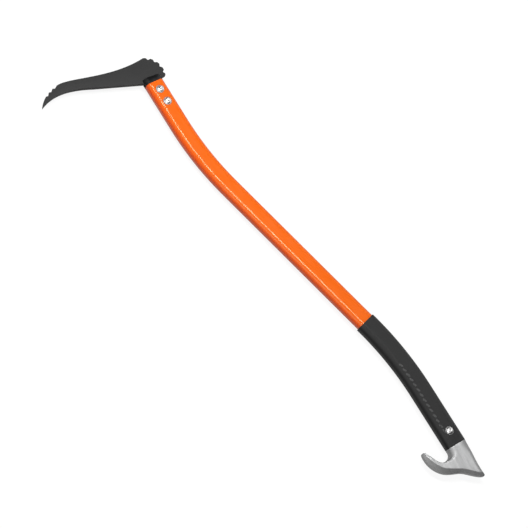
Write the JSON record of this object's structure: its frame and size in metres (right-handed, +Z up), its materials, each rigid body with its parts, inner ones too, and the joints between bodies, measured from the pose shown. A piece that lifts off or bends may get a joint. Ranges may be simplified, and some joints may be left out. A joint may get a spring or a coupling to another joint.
{
  "type": "log pick",
  "caption": "Hand log pick: toothed steel pick blade bolted into a bent flat-oval tube handle with a rubber grip and a cast hook pommel.",
  "frame": {"origin": "middle of the outline seen from above, on the surface that the tool lies on", "axes": "+X from the pick's tip to the handle, +Y from the pommel to the head, +Z up out of the front face"},
  "size_m": [0.2947, 0.8176, 0.0284],
  "materials": {
    "blade_coat": "matt dark grey coated spring steel, worn at the teeth",
    "liner_plastic": "moulded black nylon",
    "tube_paint": "satin orange powder coat on aluminium tube",
    "grip_rubber": "fine grained soft rubber",
    "cast_alloy": "blasted cast aluminium",
    "screw_steel": "bright zinc plated steel",
    "washer_steel": "dull zinc plated steel"
  },
  "bodies": {
    "root": {"pick_blade": "blade_coat", "liner_front": "liner_plastic", "liner_back": "liner_plastic", "handle_tube": "tube_paint", "grip_sleeve": "grip_rubber", "pommel_hook": "cast_alloy", "head_screw_upper": "screw_steel", "head_screw_lower": "screw_steel", "grip_screw": "screw_steel", "head_nut_upper": "screw_steel", "head_nut_lower": "screw_steel", "grip_nut": "screw_steel", "washer_upper_front": "washer_steel", "washer_upper_back": "washer_steel", "washer_lower_front": "washer_steel", "washer_lower_back": "washer_steel", "washer_grip_front": "washer_steel", "washer_grip_back": "washer_steel"}
  },
  "joints": []
}
